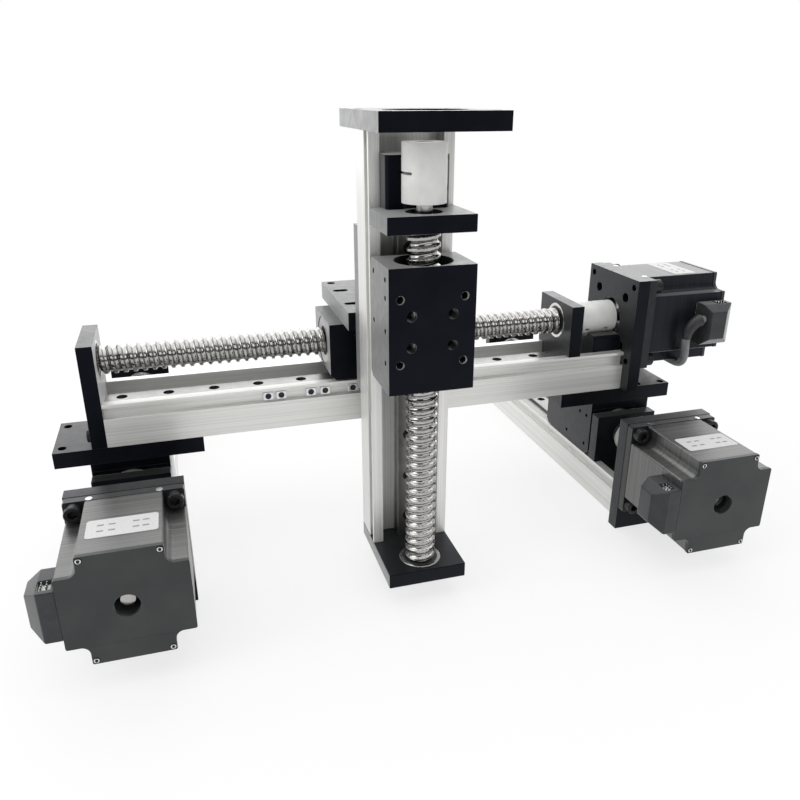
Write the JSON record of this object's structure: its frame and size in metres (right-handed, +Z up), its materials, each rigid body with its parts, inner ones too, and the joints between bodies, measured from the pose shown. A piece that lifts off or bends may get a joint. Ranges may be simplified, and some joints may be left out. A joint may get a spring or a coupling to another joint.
{
  "type": "ball screw linear module gantry",
  "caption": "Three-axis positioning gantry of ball screw linear modules: two base modules carry a cross beam with motor, whose carriage holds an upright module.",
  "frame": {"origin": "under the middle of the machine, on the surface that it stands on", "axes": "+X along the beam toward its motor, +Y along the base modules away from their motors, +Z up along the upright module"},
  "size_m": [0.4492, 0.289, 0.246],
  "materials": {
    "profile_aluminium": "drawn, clear anodised",
    "rail_steel": "ground",
    "block_steel": "ground",
    "black_anodised": "black anodised, satin",
    "nut_steel": "hardened, dark",
    "screw_steel": "rolled, bright",
    "coupling_aluminium": "turned, matt",
    "bearing_steel": "polished",
    "motor_black": "black paint, satin",
    "shaft_steel": "ground",
    "terminal_box_black": "matt",
    "lead_grey": "matt sheath",
    "plug_black": "matt"
  },
  "bodies": {
    "base": {"left_profile": "profile_aluminium", "left_rail": "rail_steel", "left_bearing_plate": "black_anodised", "left_end_plate": "black_anodised", "left_motor_plate": "black_anodised", "left_motor": "motor_black", "right_profile": "profile_aluminium", "right_rail": "rail_steel", "right_bearing_plate": "black_anodised", "right_end_plate": "black_anodised", "right_motor_plate": "black_anodised", "right_motor": "motor_black", "base_bearings": "bearing_steel", "base_terminal_boxes": "terminal_box_black"},
    "y_gantry": {"left_guide_block": "block_steel", "left_carriage": "black_anodised", "left_ball_nut": "nut_steel", "right_guide_block": "block_steel", "right_carriage": "black_anodised", "right_ball_nut": "nut_steel", "carriage_risers": "black_anodised", "left_mount_plate": "black_anodised", "right_mount_plate": "black_anodised", "beam_profile": "profile_aluminium", "beam_rail": "rail_steel", "beam_bearing_plate": "black_anodised", "beam_end_plate": "black_anodised", "beam_motor_plate": "black_anodised", "beam_motor": "motor_black", "beam_terminal_box": "terminal_box_black", "beam_bearings": "bearing_steel", "beam_channel_block": "black_anodised", "motor_lead": "lead_grey", "lead_coil": "lead_grey", "lead_plug": "plug_black"},
    "x_carriage": {"beam_guide_block": "block_steel", "beam_carriage": "black_anodised", "beam_ball_nut": "nut_steel", "upright_bracket": "black_anodised", "upright_profile": "profile_aluminium", "upright_rail": "rail_steel", "upright_bearing_plate": "black_anodised", "upright_end_plate": "black_anodised", "upright_motor_plate": "black_anodised", "upright_bearings": "bearing_steel", "upright_channel_block": "black_anodised"},
    "z_carriage": {"upright_guide_block": "block_steel", "upright_carriage": "black_anodised", "upright_ball_nut": "nut_steel"},
    "left_spindle": {"left_screw": "screw_steel", "left_coupling": "coupling_aluminium", "left_motor_shaft": "shaft_steel"},
    "right_spindle": {"right_screw": "screw_steel", "right_coupling": "coupling_aluminium", "right_motor_shaft": "shaft_steel"},
    "beam_spindle": {"beam_screw": "screw_steel", "beam_coupling": "coupling_aluminium", "beam_motor_shaft": "shaft_steel"},
    "upright_spindle": {"upright_screw": "screw_steel", "upright_coupling": "coupling_aluminium"}
  },
  "joints": [
    {"name": "y_slide", "type": "slide", "parent": "base", "child": "y_gantry", "axis": [0, 1, 0], "range_m": [0, 0.112]},
    {"name": "x_slide", "type": "slide", "parent": "y_gantry", "child": "x_carriage", "axis": [1, 0, 0], "range_m": [-0.094, 0.087]},
    {"name": "z_slide", "type": "slide", "parent": "x_carriage", "child": "z_carriage", "axis": [0, 0, 1], "range_m": [-0.1, 0.012]},
    {"name": "left_screw_spin", "type": "hinge", "parent": "base", "child": "left_spindle", "pos_m": [-0.16185, 0, 0.043], "axis": [0, 1, 0], "range_deg": [-8150, 100]},
    {"name": "right_screw_spin", "type": "hinge", "parent": "base", "child": "right_spindle", "pos_m": [0.14865, 0, 0.043], "axis": [0, 1, 0], "range_deg": [-8150, 100]},
    {"name": "beam_screw_spin", "type": "hinge", "parent": "y_gantry", "child": "beam_spindle", "pos_m": [0, -0.0255, 0.119], "axis": [1, 0, 0], "range_deg": [-6350, 6850]},
    {"name": "upright_screw_spin", "type": "hinge", "parent": "x_carriage", "child": "upright_spindle", "pos_m": [-0.01535, -0.111, 0.12], "axis": [0, 0, 1], "range_deg": [-950, 7300]}
  ],
  "couplings": [
    {"joint": "left_screw_spin", "follows": "y_slide", "rad_per_m": -1256.6},
    {"joint": "right_screw_spin", "follows": "y_slide", "rad_per_m": -1256.6},
    {"joint": "beam_screw_spin", "follows": "x_slide", "rad_per_m": -1256.6},
    {"joint": "upright_screw_spin", "follows": "z_slide", "rad_per_m": -1256.6}
  ]
}
